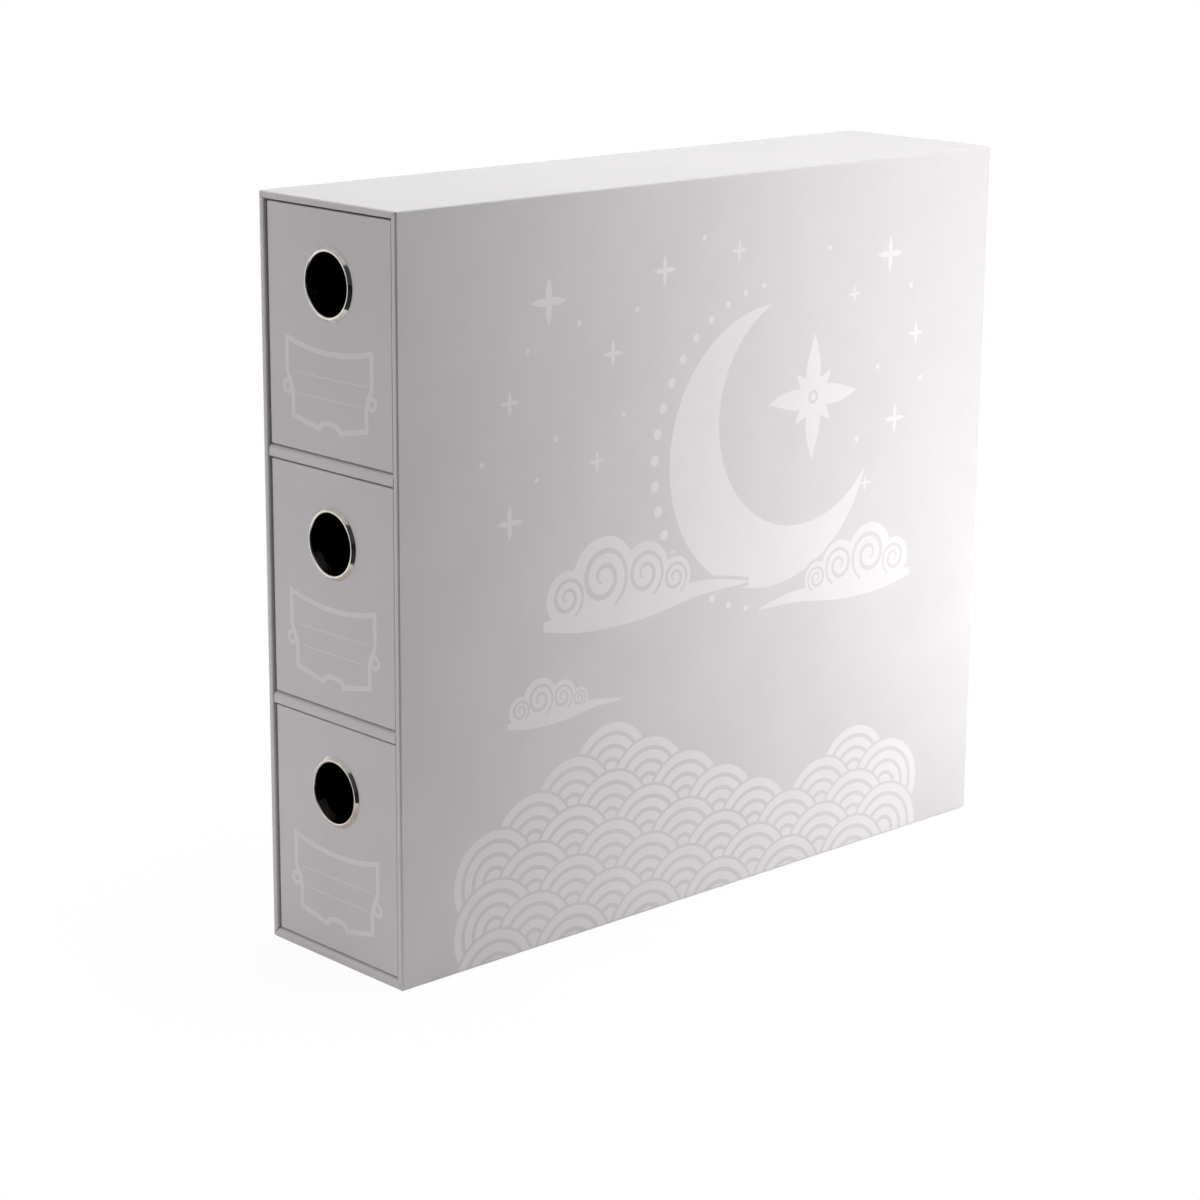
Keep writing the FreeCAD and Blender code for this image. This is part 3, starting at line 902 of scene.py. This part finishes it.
@dataclass
class SidePrint:
    """The large ornament on the box's right side: a moon and stars, drifting clouds and a patterned sea."""

    foot: float = 0.86
    moon: Point = (34.0, 188.0)
    moon_radius: float = 60.0
    bite: Point = (52.0, 202.0)
    bite_radius: float = 50.0
    beads: int = 21
    bead_gap: float = 8.5
    great_star: tuple[Star, ...] = (Star((58.0, 206.0), 27.0, 4.2), Star((58.0, 206.0), 15.0, 4.0, turn=45.0))
    star_eye: Point = (3.0, 1.6)
    star_waist: float = 0.17
    small_stars: tuple[Place, ...] = (
        (-92.0, 262.0, 9.5), (-58.0, 238.0, 5.5), (-112.0, 225.0, 5.0), (-30.0, 268.0, 6.5),
        (12.0, 272.0, 4.5), (104.0, 262.0, 8.0), (122.0, 226.0, 5.0), (110.0, 190.0, 6.5),
        (82.0, 247.0, 4.0), (-66.0, 196.0, 4.5), (92.0, 164.0, 3.8), (-112.0, 178.0, 7.0),
    )
    dots: tuple[Point, ...] = (
        (-76.0, 252.0), (-103.0, 244.0), (-45.0, 254.0), (-8.0, 279.0), (118.0, 247.0), (98.0, 214.0),
        (126.0, 206.0), (-88.0, 208.0), (-52.0, 213.0), (-126.0, 203.0), (86.0, 184.0), (-98.0, 193.0),
        (66.0, 268.0),
    )
    dot_radius: float = 1.15
    scale_radius: float = 21.0
    scale_rings: tuple[float, ...] = (1.06, 1.0, 0.83, 0.74, 0.57, 0.48, 0.31, 0.22)
    sea_reach: float = 128.0
    clouds: tuple[Cloud, ...] = (
        Cloud((-62.0, 148.0), 17.0), Cloud((96.0, 132.0), 14.0, side=-1), Cloud((-96.0, 104.0), 9.0),
    )

    def outlines(self) -> list[Outline]:
        """The ornament's outlines, in depth and height along the side.

        Returns:
            The outlines, from the ones behind to the ones in front.
        """
        found = [*self.moonlight(), *self.stars(), *self.sea()]
        for cloud in self.clouds:
            found += cloud.outlines()
        return [outline for outline in map(self.trimmed, found) if len(outline.points) > 2]

    def trimmed(self, outline: Outline) -> Outline:
        """Cut an outline off at the foot of the side.

        Args:
            outline: The outline to cut.

        Returns:
            What is left above the foot.
        """
        points = outline.points
        if points[:, 1].min() >= self.foot:
            return outline
        kept = []
        for start, end in zip(points, np.roll(points, -1, axis=0)):
            if start[1] >= self.foot:
                kept.append(start)
            if (start[1] >= self.foot) != (end[1] >= self.foot):
                share = (self.foot - start[1]) / (end[1] - start[1])
                kept.append(np.array((start[0] + (end[0] - start[0]) * share, self.foot)))
        return Outline(np.array(kept).reshape(-1, 2), outline.inked)

    def moonlight(self) -> list[Outline]:
        """The crescent moon and the beads round it.

        Returns:
            The outlines.
        """
        found = [
            Outline(ring_points(self.moon, self.moon_radius, 120)),
            Outline(ring_points(self.bite, self.bite_radius, 110), inked=False),
        ]
        reach = self.moon_radius + self.bead_gap
        for index in range(self.beads):
            turn = math.radians(96.0 + index * 9.0)
            centre = (self.moon[0] + reach * math.cos(turn), self.moon[1] + reach * math.sin(turn))
            radius = 1.0 + 1.3 * math.sin(math.pi * index / (self.beads - 1))
            found.append(Outline(ring_points(centre, radius, 20)))
        return found

    def stars(self) -> list[Outline]:
        """The great star in the moon's arms and the small ones about the sky.

        Returns:
            The outlines.
        """
        found = [star.outline() for star in self.great_star]
        centre, (rim, pupil) = self.great_star[0].middle, self.star_eye
        found += [Outline(ring_points(centre, rim, 24), inked=False), Outline(ring_points(centre, pupil, 20))]
        found += [Star((y, z), reach, reach * self.star_waist).outline() for y, z, reach in self.small_stars]
        return found + [Outline(ring_points(place, self.dot_radius, 14)) for place in self.dots]

    def crest(self, across: float) -> float:
        """How high the sea rises: two swells, one long and one short, that die down towards the sides.

        Args:
            across: Place along the side.

        Returns:
            The height.
        """
        swell = 56.0 + 26.0 * math.cos((across + 74.0) / 40.0) + 10.0 * math.cos(across / 17.0)
        return swell * (1.0 - (abs(across) / 150.0) ** 3)

    def sea(self) -> list[Outline]:
        """Rows of overlapping scales, each a fan of rings.

        Returns:
            The outlines.
        """
        found = []
        radius = self.scale_radius
        for row in range(8, -1, -1):
            height = row * radius / 2 - 8.0
            for column in range(-4, 5):
                across = column * 2 * radius + (row % 2) * radius + 6.0
                if abs(across) > self.sea_reach or height > self.crest(across):
                    continue
                for number, share in enumerate(self.scale_rings):
                    circle = ring_points((across, height), radius * share, 64 if share > 0.5 else 36)
                    found.append(Outline(circle, inked=number % 2 == 1))
        return found


@dataclass(frozen=True)
class FlatSide:
    """One flat side of a covering: which way it faces, where it lies, and the two axes in its plane."""

    facing: Place
    place: float
    across: int
    up: int

    def faces(self, shape: bmesh.types.BMesh) -> list[bmesh.types.BMFace]:
        """The faces in the side's plane, whichever way they face.

        Args:
            shape: The covering.

        Returns:
            The faces.
        """
        facing = Vector(self.facing)
        return [
            face for face in shape.faces if abs(face.normal.dot(facing)) > 0.9999
            and abs(face.calc_center_median().dot(facing) - self.place) < 1e-6
        ]

    def imprint(self, shape: bmesh.types.BMesh, outlines: Sequence[Outline]) -> None:
        """Rebuild the side with printed outlines lying flush in it; printed faces take the second material.

        Args:
            shape: The covering, with its doubles merged.
            outlines: The outlines, in millimetres on this side's axes.
        """
        flat = self.faces(shape)
        own = set(flat)
        edges = dict.fromkeys(edge for face in flat for edge in face.edges)
        rim = [edge for edge in edges if sum(face in own for face in edge.link_faces) == 1]
        corners = list(dict.fromkeys(vertex for edge in rim for vertex in edge.verts))
        number = {vertex: index for index, vertex in enumerate(corners)}
        points = [(vertex.co[self.across] / MM, vertex.co[self.up] / MM) for vertex in corners]
        links = [tuple(number[vertex] for vertex in edge.verts) for edge in rim]
        for outline in outlines:
            start, count = len(points), len(outline.points)
            points += [tuple(point) for point in outline.points]
            links += [(start + step, start + (step + 1) % count) for step in range(count)]
        bmesh.ops.delete(shape, geom=flat, context="FACES_KEEP_BOUNDARY")
        found, _, corner_sets, origins, _, _ = delaunay_2d_cdt(list(map(Vector, points)), links, [], 0, 1e-5)
        triangles = np.array(corner_sets)
        middles = np.array([tuple(place) for place in found])[triangles].mean(axis=1)
        ends = np.array([[points[first], points[second]] for first, second in links[:len(rim)]])
        kept = self.within(middles, ends)
        triangles, middles = triangles[kept], middles[kept]
        inked = np.zeros(len(middles), bool)
        for outline in outlines:
            inked[outline.holds(middles)] = outline.inked
        vertices = []
        for place, sources in zip(found, origins):
            known = [corners[index] for index in sources if index < len(corners)]
            vertices.append(known[0] if known else self.vertex(shape, place))
        for triangle, printed in zip(triangles, inked):
            face = shape.faces.new([vertices[index] for index in triangle])
            face.material_index = int(printed)
            face.smooth = False
        self.clean(shape)

    def vertex(self, shape: bmesh.types.BMesh, place: Vector) -> bmesh.types.BMVert:
        """Add a vertex on the side.

        Args:
            shape: The covering.
            place: Its place on this side's axes, in millimetres.

        Returns:
            The vertex.
        """
        spot = Vector(self.facing) * self.place
        spot[self.across], spot[self.up] = place[0] * MM, place[1] * MM
        return shape.verts.new(spot)

    def clean(self, shape: bmesh.types.BMesh) -> None:
        """Turn the side's faces outwards and drop loose vertices.

        Args:
            shape: The covering.
        """
        shape.normal_update()
        facing = Vector(self.facing)
        wrong = [face for face in self.faces(shape) if face.normal.dot(facing) < 0]
        bmesh.ops.reverse_faces(shape, faces=wrong)
        loose = [vertex for vertex in shape.verts if not vertex.link_faces]
        bmesh.ops.delete(shape, geom=loose, context="VERTS")

    @staticmethod
    def within(middles: np.ndarray, rim: np.ndarray) -> np.ndarray:
        """Find the triangles that lie inside the side's rim and outside its hole.

        Args:
            middles: Middle of each triangle.
            rim: Both ends of each edge of the rim.

        Returns:
            True for each triangle that is part of the side.
        """
        crossings = np.zeros(len(middles), int)
        for start, end in rim:
            if start[1] == end[1]:
                continue
            spans = (start[1] > middles[:, 1]) != (end[1] > middles[:, 1])
            share = (middles[:, 1] - start[1]) / (end[1] - start[1])
            crossings += spans & (middles[:, 0] < start[0] + (end[0] - start[0]) * share)
        return crossings % 2 == 1


@dataclass
class Covering:
    """A covering paper with print on one of its flat sides."""

    node: str
    body: str
    side: FlatSide
    outlines: list[Outline]

    def build(self, finishes: Finishes) -> bpy.types.Object:
        """Make the covering in place of its solid.

        Args:
            finishes: The materials.

        Returns:
            The covering.
        """
        name = f"{self.node}_printed"
        shape = bmesh.new()
        shape.from_mesh(frame["nodes"][self.node].data)
        bmesh.ops.remove_doubles(shape, verts=shape.verts, dist=1e-7)
        for face in shape.faces:
            face.smooth = max(abs(axis) for axis in face.normal) < 0.99999
        self.side.imprint(shape, self.outlines)
        mesh = bpy.data.meshes.new(name)
        shape.to_mesh(mesh)
        shape.free()
        mesh.materials.append(finishes.slots[Slot.PAPER])
        mesh.materials.append(finishes.ink)
        self.ease(mesh)
        return add_piece(name, mesh, self.body, self.node)

    @staticmethod
    def ease(mesh: bpy.types.Mesh) -> None:
        """Let rounded edges run smoothly into the flat sides.

        Args:
            mesh: The covering's mesh.
        """
        flat: dict[int, list[Vector]] = {}
        rounded: dict[int, list[Vector]] = {}
        for face in mesh.polygons:
            for vertex in face.vertices:
                (rounded if face.use_smooth else flat).setdefault(vertex, []).append(face.normal.copy())
        normals = []
        for face in mesh.polygons:
            for vertex in face.vertices:
                near = [face.normal.copy()]
                if face.use_smooth:
                    near = [normal for normal in flat.get(vertex, []) if normal.dot(face.normal) > 0.7]
                    near = near or [normal for normal in rounded[vertex] if normal.dot(face.normal) > 0.6]
                normals.append(sum(near, Vector((0.0, 0.0, 0.0))).normalized())
        mesh.normals_split_custom_set(normals)


class RingTree:
    """Geometry nodes that sweep a section round a circle and dress the result."""

    name = "turned_ring"
    inputs = {"Section": "Geometry", "Path Radius": "Float", "Steps Round": "Int", "Finish": "Material"}

    def __init__(self) -> None:
        """Find the tree, or build it the first time."""
        self.tree = bpy.data.node_groups.get(self.name) or self.make()

    def make(self) -> bpy.types.NodeTree:
        """Build the tree.

        Returns:
            The new tree.
        """
        tree = bpy.data.node_groups.new(self.name, "GeometryNodeTree")
        for label, kind in self.inputs.items():
            tree.interface.new_socket(label, in_out="INPUT", socket_type=f"NodeSocket{kind}")
        tree.interface.new_socket("Ring", in_out="OUTPUT", socket_type="NodeSocketGeometry")
        nodes = NodeTree(tree)
        inputs = nodes.add("NodeGroupInput").outputs
        circle = {"Resolution": inputs["Steps Round"], "Radius": inputs["Path Radius"]}
        path = nodes.add("GeometryNodeCurvePrimitiveCircle", circle).outputs["Curve"]
        section = nodes.add("GeometryNodeMeshToCurve", {"Mesh": inputs["Section"]}).outputs[0]
        swept = nodes.add("GeometryNodeCurveToMesh", {"Curve": path, "Profile Curve": section}).outputs[0]
        soft = nodes.add("GeometryNodeSetShadeSmooth", {0: swept, "Shade Smooth": True}).outputs[0]
        real = nodes.add("GeometryNodeRealizeInstances", {0: soft}).outputs[0]
        dressed = nodes.add("GeometryNodeSetMaterial", {0: real, "Material": inputs["Finish"]}).outputs[0]
        nodes.add("NodeGroupOutput", {"Ring": dressed})
        return tree

    def sweep(self, name: str, section: Sequence[Point], radius: float, steps: int,
              finish: bpy.types.Material) -> bpy.types.Mesh:
        """Sweep a closed section round a circle about the upright axis.

        Args:
            name: Name of the mesh.
            section: Points of the section: distance outwards from the circle, and height.
            radius: Radius of the circle.
            steps: Number of pieces round the circle.
            finish: The material.

        Returns:
            The plain mesh.
        """
        mesh = bpy.data.meshes.new(f"{name}_section")
        count = len(section)
        mesh.from_pydata([(x, z, 0.0) for x, z in section], [(i, (i + 1) % count) for i in range(count)], [])
        holder = bpy.data.objects.new(f"{name}_section", mesh)
        bpy.context.scene.collection.objects.link(holder)
        modifier = holder.modifiers.new("sweep", "NODES")
        modifier.node_group = self.tree
        values = {"Path Radius": radius, "Steps Round": steps, "Finish": finish}
        for item in self.tree.interface.items_tree:
            if item.name in values:
                modifier[item.identifier] = values[item.name]
        swept = bpy.data.meshes.new_from_object(holder.evaluated_get(bpy.context.evaluated_depsgraph_get()))
        swept.name = name
        bpy.data.objects.remove(holder)
        bpy.data.meshes.remove(mesh)
        return swept


@dataclass
class FingerRing:
    """The nickel ring in a drawer front: a rolled rim outside and a washer behind.

    Sizes are in millimetres and turns in degrees. The solid stands out of the drawer front by stand, and
    this ring by nose. Its rim is a bead with a narrow land at its crest and a straight flank outside.
    """

    drawer: Drawer
    bore: float = 12.3
    wall: float = 0.65
    rim_radius: float = 14.45
    stand: float = 1.55
    nose: float = 1.2
    crest: float = 12.85
    land: float = 0.12
    bead: float = 0.6
    lip_turn: float = 65.0
    flank_turn: float = 40.0
    washer_band: float = 1.85
    washer_round: float = 0.1
    steps: int = 144

    def rim_section(self, end: float) -> list[Point]:
        """Section of the rolled ring, as distance from the axis and height in front of the drawer.

        Args:
            end: Height of the ring's back end, which is below zero.

        Returns:
            The section's points, once round.
        """
        turns = np.radians([*np.linspace(-self.lip_turn, 0.0, 12), *np.linspace(0.5, self.flank_turn, 9)])
        bead = [
            (self.crest + (self.land if turn > 0 else 0.0) + self.bead * math.sin(turn),
             self.nose - self.bead * (1 - math.cos(turn)))
            for turn in turns
        ]
        foot = [(self.rim_radius, 0.1), (self.rim_radius - 0.04, 0.03), (self.rim_radius - 0.2, 0.0)]
        outside = self.bore + self.wall
        barrel = [(outside, 0.0), (outside, end), (self.bore, end), (self.bore, bead[0][1] - 0.1)]
        return bead + foot + barrel

    def washer_section(self, outside: float, near: float, far: float) -> list[Point]:
        """Section of the washer, as distance from the axis and height in front of the drawer.

        Args:
            outside: Its outer radius.
            near: Height of its front.
            far: Height of its back.

        Returns:
            The section's points, once round.
        """
        hole, soft = outside - self.washer_band, self.washer_round
        return [
            (hole, near), (outside - soft, near), (outside, near - soft), (outside, far + soft),
            (outside - soft, far), (hole, far),
        ]

    def build(self, finishes: Finishes) -> list[bpy.types.Object]:
        """Make the ring and its washer in place of their solids.

        Args:
            finishes: The materials.

        Returns:
            The ring and the washer.
        """
        low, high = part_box(f"{self.drawer.value}_finger_ring")
        front, axis = low.y / MM + self.stand, (low.z + high.z) / 2
        rim = self.rim_section(front - high.y / MM)
        low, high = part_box(f"{self.drawer.value}_ring_washer")
        washer = self.washer_section((high.x - low.x) / 2 / MM, front - low.y / MM, front - high.y / MM)
        middle = Vector((0.0, front * MM, axis))
        metal = finishes.slots[Slot.METAL]
        return [
            self.turned(part, section, middle, metal)
            for part, section in (("finger_ring", rim), ("ring_washer", washer))
        ]

    def turned(self, part: str, section: Sequence[Point], middle: Vector,
               metal: bpy.types.Material) -> bpy.types.Object:
        """Sweep one section and set it in the drawer front.

        Args:
            part: Name of the solid, without the drawer's name.
            section: Section as distance from the axis and height in front of the drawer, in millimetres.
            middle: Where the axis meets the drawer's outside.
            metal: The material.

        Returns:
            The piece.
        """
        node = f"{self.drawer.value}_{part}"
        offsets = [((radius - self.bore) * MM, -height * MM) for radius, height in section]
        mesh = RingTree().sweep(f"{node}_turned", offsets, self.bore * MM, self.steps, metal)
        mesh.transform(Matrix.Translation(middle) @ Matrix.Rotation(math.pi / 2, 4, "X"))
        shape = bmesh.new()
        shape.from_mesh(mesh)
        bmesh.ops.remove_doubles(shape, verts=shape.verts, dist=1e-7)
        bmesh.ops.recalc_face_normals(shape, faces=shape.faces)
        for edge in shape.edges:
            edge.smooth = edge.calc_face_angle(0.0) < math.radians(40)
        shape.to_mesh(mesh)
        shape.free()
        return add_piece(mesh.name, mesh, self.drawer.value, node)


@dataclass
class DrawerSet:
    """The three drawers: printed covering and finger ring of each."""

    label: LabelPrint = field(default_factory=LabelPrint)

    def build(self, finishes: Finishes) -> list[bpy.types.Object]:
        """Dress every drawer.

        Args:
            finishes: The materials.

        Returns:
            The new pieces.
        """
        pieces = []
        for drawer in Drawer:
            node = f"{drawer.value}_wrap"
            low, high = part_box(node)
            front = FlatSide((0.0, -1.0, 0.0), -low.y, 0, 2)
            covering = Covering(node, drawer.value, front, self.label.outlines(high.z / MM))
            pieces.append(covering.build(finishes))
            pieces += FingerRing(drawer).build(finishes)
        return pieces


@dataclass
class Shell:
    """The outer box with the ornament on its right side."""

    ornament: SidePrint = field(default_factory=SidePrint)

    def build(self, finishes: Finishes) -> list[bpy.types.Object]:
        """Dress the outer box.

        Args:
            finishes: The materials.

        Returns:
            The new piece.
        """
        node = "shell_outer_wrap"
        _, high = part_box(node)
        side = FlatSide((1.0, 0.0, 0.0), high.x, 1, 2)
        return [Covering(node, "shell", side, self.ornament.outlines()).build(finishes)]


@dataclass(frozen=True)
class Sky:
    """Levels of the soft light round the box, by direction, and of what mirrors see of it.

    A turn is the cosine from one direction at which a change of level starts, and at which it ends.
    """

    top: float = 0.05
    back: float = 0.4
    left: float = 0.55
    front: float = 0.05
    seen: float = 1.0
    overhead: float = 0.52
    back_turn: Point = (-0.2, 0.7)
    top_turn: Point = (0.5, 0.85)
    open_turn: Point = (0.45, 0.62)
    open_top: Point = (0.56, 0.64)
    overhead_turn: Point = (0.12, 0.45)

    def build(self) -> None:
        """Make the world: bright at the sides and behind, dark on the open side of the studio."""
        world = bpy.data.worlds.new("studio")
        bpy.context.scene.world = world
        world.use_nodes = True
        world.node_tree.nodes.clear()
        nodes = NodeTree(world.node_tree)
        direction = nodes.add("ShaderNodeTexCoord").outputs["Generated"]

        def towards(x: float, y: float, z: float) -> Socket:
            """How nearly a ray points one way, from -1 to 1."""
            return nodes.vector("DOT_PRODUCT", direction, Vector((x, y, z)).normalized(), output="Value")

        def blend(share: Socket, low: Socket | float, high: Socket | float) -> Socket:
            """Mix two levels."""
            return nodes.add("ShaderNodeMix", {0: share, 2: low, 3: high}, data_type="FLOAT").outputs[0]

        upward = towards(0.0, 0.0, 1.0)
        sides = blend(nodes.ramp(towards(0.7, 0.7, 0.0), *self.back_turn), self.left, self.back)
        level = blend(nodes.ramp(upward, *self.top_turn), sides, self.top)
        low_rays = nodes.ramp(upward, *self.open_top, 1.0, 0.0)
        shade = nodes.math("MULTIPLY", nodes.ramp(towards(*OPEN_SIDE), *self.open_turn), low_rays)
        level = blend(shade, level, self.front)
        camera_ray, mirrored = nodes.rays()
        shine = nodes.ramp(upward, *self.overhead_turn, self.seen, self.overhead)
        level = blend(nodes.math("MULTIPLY", mirrored, nodes.math("SUBTRACT", 1.0, shade)), level, shine)
        level = blend(camera_ray, level, self.seen)
        background = nodes.add("ShaderNodeBackground", {"Color": WHITE, "Strength": level})
        nodes.add("ShaderNodeOutputWorld", {"Surface": background.outputs[0]})


@dataclass(frozen=True)
class Lamp:
    """One soft lamp with a rectangular face, which mirrors show only where asked."""

    name: str
    place: Place
    aim: Place
    width: float
    height: float
    power: float
    colour: Colour = WHITE
    mirrored: bool = False

    def build(self) -> None:
        """Make the lamp."""
        data = bpy.data.lights.new(self.name, "AREA")
        data.shape = "RECTANGLE"
        data.size, data.size_y = self.width, self.height
        data.energy = self.power
        data.color = self.colour
        place = Vector(self.place)
        lamp = bpy.data.objects.new(self.name, data)
        turn = (place - Vector(self.aim)).to_track_quat("Z", "Y").to_matrix().to_4x4()
        lamp.matrix_world = Matrix.Translation(place) @ turn
        lamp.visible_glossy = self.mirrored
        bpy.context.scene.collection.objects.link(lamp)


@dataclass(frozen=True)
class Camera:
    """The camera, with its place in metres and its angles in degrees."""

    lens: float = 91.755
    sensor: float = 36.0
    place: Place = (0.899729, -0.871962, 0.451239)
    azimuth: float = 46.7418
    elevation: float = 14.8245
    roll: float = 0.45866

    def build(self) -> None:
        """Make the camera and set it as the scene's."""
        azimuth, elevation, roll = map(math.radians, (self.azimuth, self.elevation, self.roll))
        flat = math.cos(elevation)
        back = Vector((math.sin(azimuth) * flat, -math.cos(azimuth) * flat, math.sin(elevation)))
        level = Vector((0.0, 0.0, 1.0)).cross(back).normalized()
        across = level * math.cos(roll) + back.cross(level) * math.sin(roll)
        data = bpy.data.cameras.new("camera")
        data.lens, data.sensor_width, data.sensor_fit = self.lens, self.sensor, "HORIZONTAL"
        data.clip_start, data.clip_end = 0.01, 50.0
        camera = bpy.data.objects.new("camera", data)
        turn = Matrix((across, back.cross(across), back)).transposed().to_4x4()
        camera.matrix_world = Matrix.Translation(self.place) @ turn
        bpy.context.scene.collection.objects.link(camera)
        bpy.context.scene.camera = camera


@dataclass(frozen=True)
class Table:
    """The pale table that the box stands on; towards the open side it ends in the dark.

    A reach is how far from the box a change starts, and where it ends, in metres.
    """

    size: float = 40.0
    drop: float = 0.0002
    reach: float = 0.27
    fade: float = 0.02
    pale: float = 0.8
    dark: float = 0.03
    shadow: float = 0.045
    shadow_reach: Point = (0.18, 0.3)
    # painted shade: near the box, mirrors see the table's glow in this darker, warm tone, standing in for the
    # box's shade on the table
    mirrored_painted_shade: Colour = (0.46, 0.41, 0.38)
    painted_shade_reach: Point = (0.2, 0.5)

    def build(self) -> None:
        """Make the table."""
        mesh = bpy.data.meshes.new("floor")
        half = self.size / 2
        corners = [(-half, -half), (half, -half), (half, half), (-half, half)]
        mesh.from_pydata([(x, y, -self.drop) for x, y in corners], [], [(0, 1, 2, 3)])
        mesh.materials.append(self.material())
        floor = bpy.data.objects.new("floor", mesh)
        bpy.context.scene.collection.objects.link(floor)

    def material(self) -> bpy.types.Material:
        """Build the material: white to the camera but for a faint shadow, and to mirrors near the box a
        darker, warm glow that is painted shade.

        Returns:
            The material.
        """
        material = bpy.data.materials.new("floor")
        material.use_nodes = True
        material.node_tree.nodes.clear()
        nodes = NodeTree(material.node_tree)
        place = nodes.place()
        forward = nodes.vector("DOT_PRODUCT", place, OPEN_SIDE, output="Value")
        away = nodes.vector("LENGTH", place, output="Value")
        camera_ray, mirrored = nodes.rays()
        edge = (forward, self.reach, self.reach + self.fade)
        table = nodes.ramp(*edge, self.pale, self.dark)
        grey = nodes.add("ShaderNodeCombineColor", {0: table, 1: table, 2: table}).outputs[0]
        plain = nodes.add("ShaderNodeBsdfDiffuse", {"Color": grey}).outputs[0]
        lit = nodes.add("ShaderNodeBsdfDiffuse", {"Color": WHITE}).outputs[0]
        # painted shade: rays from mirrors see the table's glow darker and warm near the box, fading out
        # further away
        painted_shade_share = nodes.math("MULTIPLY", mirrored, nodes.ramp(away, *self.painted_shade_reach, 1.0, 0.0))
        tone = nodes.mix(painted_shade_share, WHITE, self.mirrored_painted_shade)
        glow = nodes.add("ShaderNodeEmission", {"Color": tone, "Strength": 1.0}).outputs[0]
        share = nodes.ramp(away, *self.shadow_reach, 1.0 - self.shadow, 1.0)
        shown = nodes.add("ShaderNodeMixShader", {0: share, 1: lit, 2: glow}).outputs[0]
        mirrored = nodes.math("MULTIPLY", mirrored, nodes.ramp(*edge, 1.0, 0.0))
        seen = nodes.math("MAXIMUM", camera_ray, mirrored)
        surface = nodes.add("ShaderNodeMixShader", {0: seen, 1: plain, 2: shown}).outputs[0]
        nodes.add("ShaderNodeOutputMaterial", {"Surface": surface})
        return material


@dataclass(frozen=True)
class Studio:
    """Camera, table, sky and lamps."""

    camera: Camera = Camera()
    table: Table = Table()
    sky: Sky = Sky()
    lamps: tuple[Lamp, ...] = (
        Lamp("right_lamp", (0.30, 0.16, 0.30), (0.04, 0.14, 0.30), 0.12, 0.60, 0.63),
        Lamp("far_lamp", (0.45, 0.70, 0.30), (0.04, 0.10, 0.15), 0.30, 0.80, 2.6, COOL, mirrored=True),
        Lamp("corner_lamp", (0.20, 0.30, 0.07), (0.04, 0.15, 0.02), 0.20, 0.10, 0.21, COOL),
        Lamp("top_lamp", (0.0, 0.15, 1.20), (0.0, 0.0, 0.3), 0.80, 0.80, 11.6, COOLER),
        Lamp("front_lamp", (-0.40, -1.60, 0.60), (0.0, 0.0, 0.15), 0.90, 0.60, 9.0),
    )

    def build(self) -> None:
        """Make the whole studio."""
        for item in (self.camera, self.table, self.sky, *self.lamps):
            item.build()


def main() -> None:
    """Build every part of the scene."""
    logging.basicConfig(level=logging.INFO)
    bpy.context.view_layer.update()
    bpy.context.scene.view_settings.view_transform = "Standard"
    Studio().build()
    finishes = Finishes()
    for node, slot in finishes.dress().items():
        LOG.info("%s: %s", node, slot.value)
    for part in (Shell(), DrawerSet()):
        for piece in part.build(finishes):
            LOG.info("%s: %d faces", piece.name, len(piece.data.polygons))


if __name__ == "__main__":
    main()
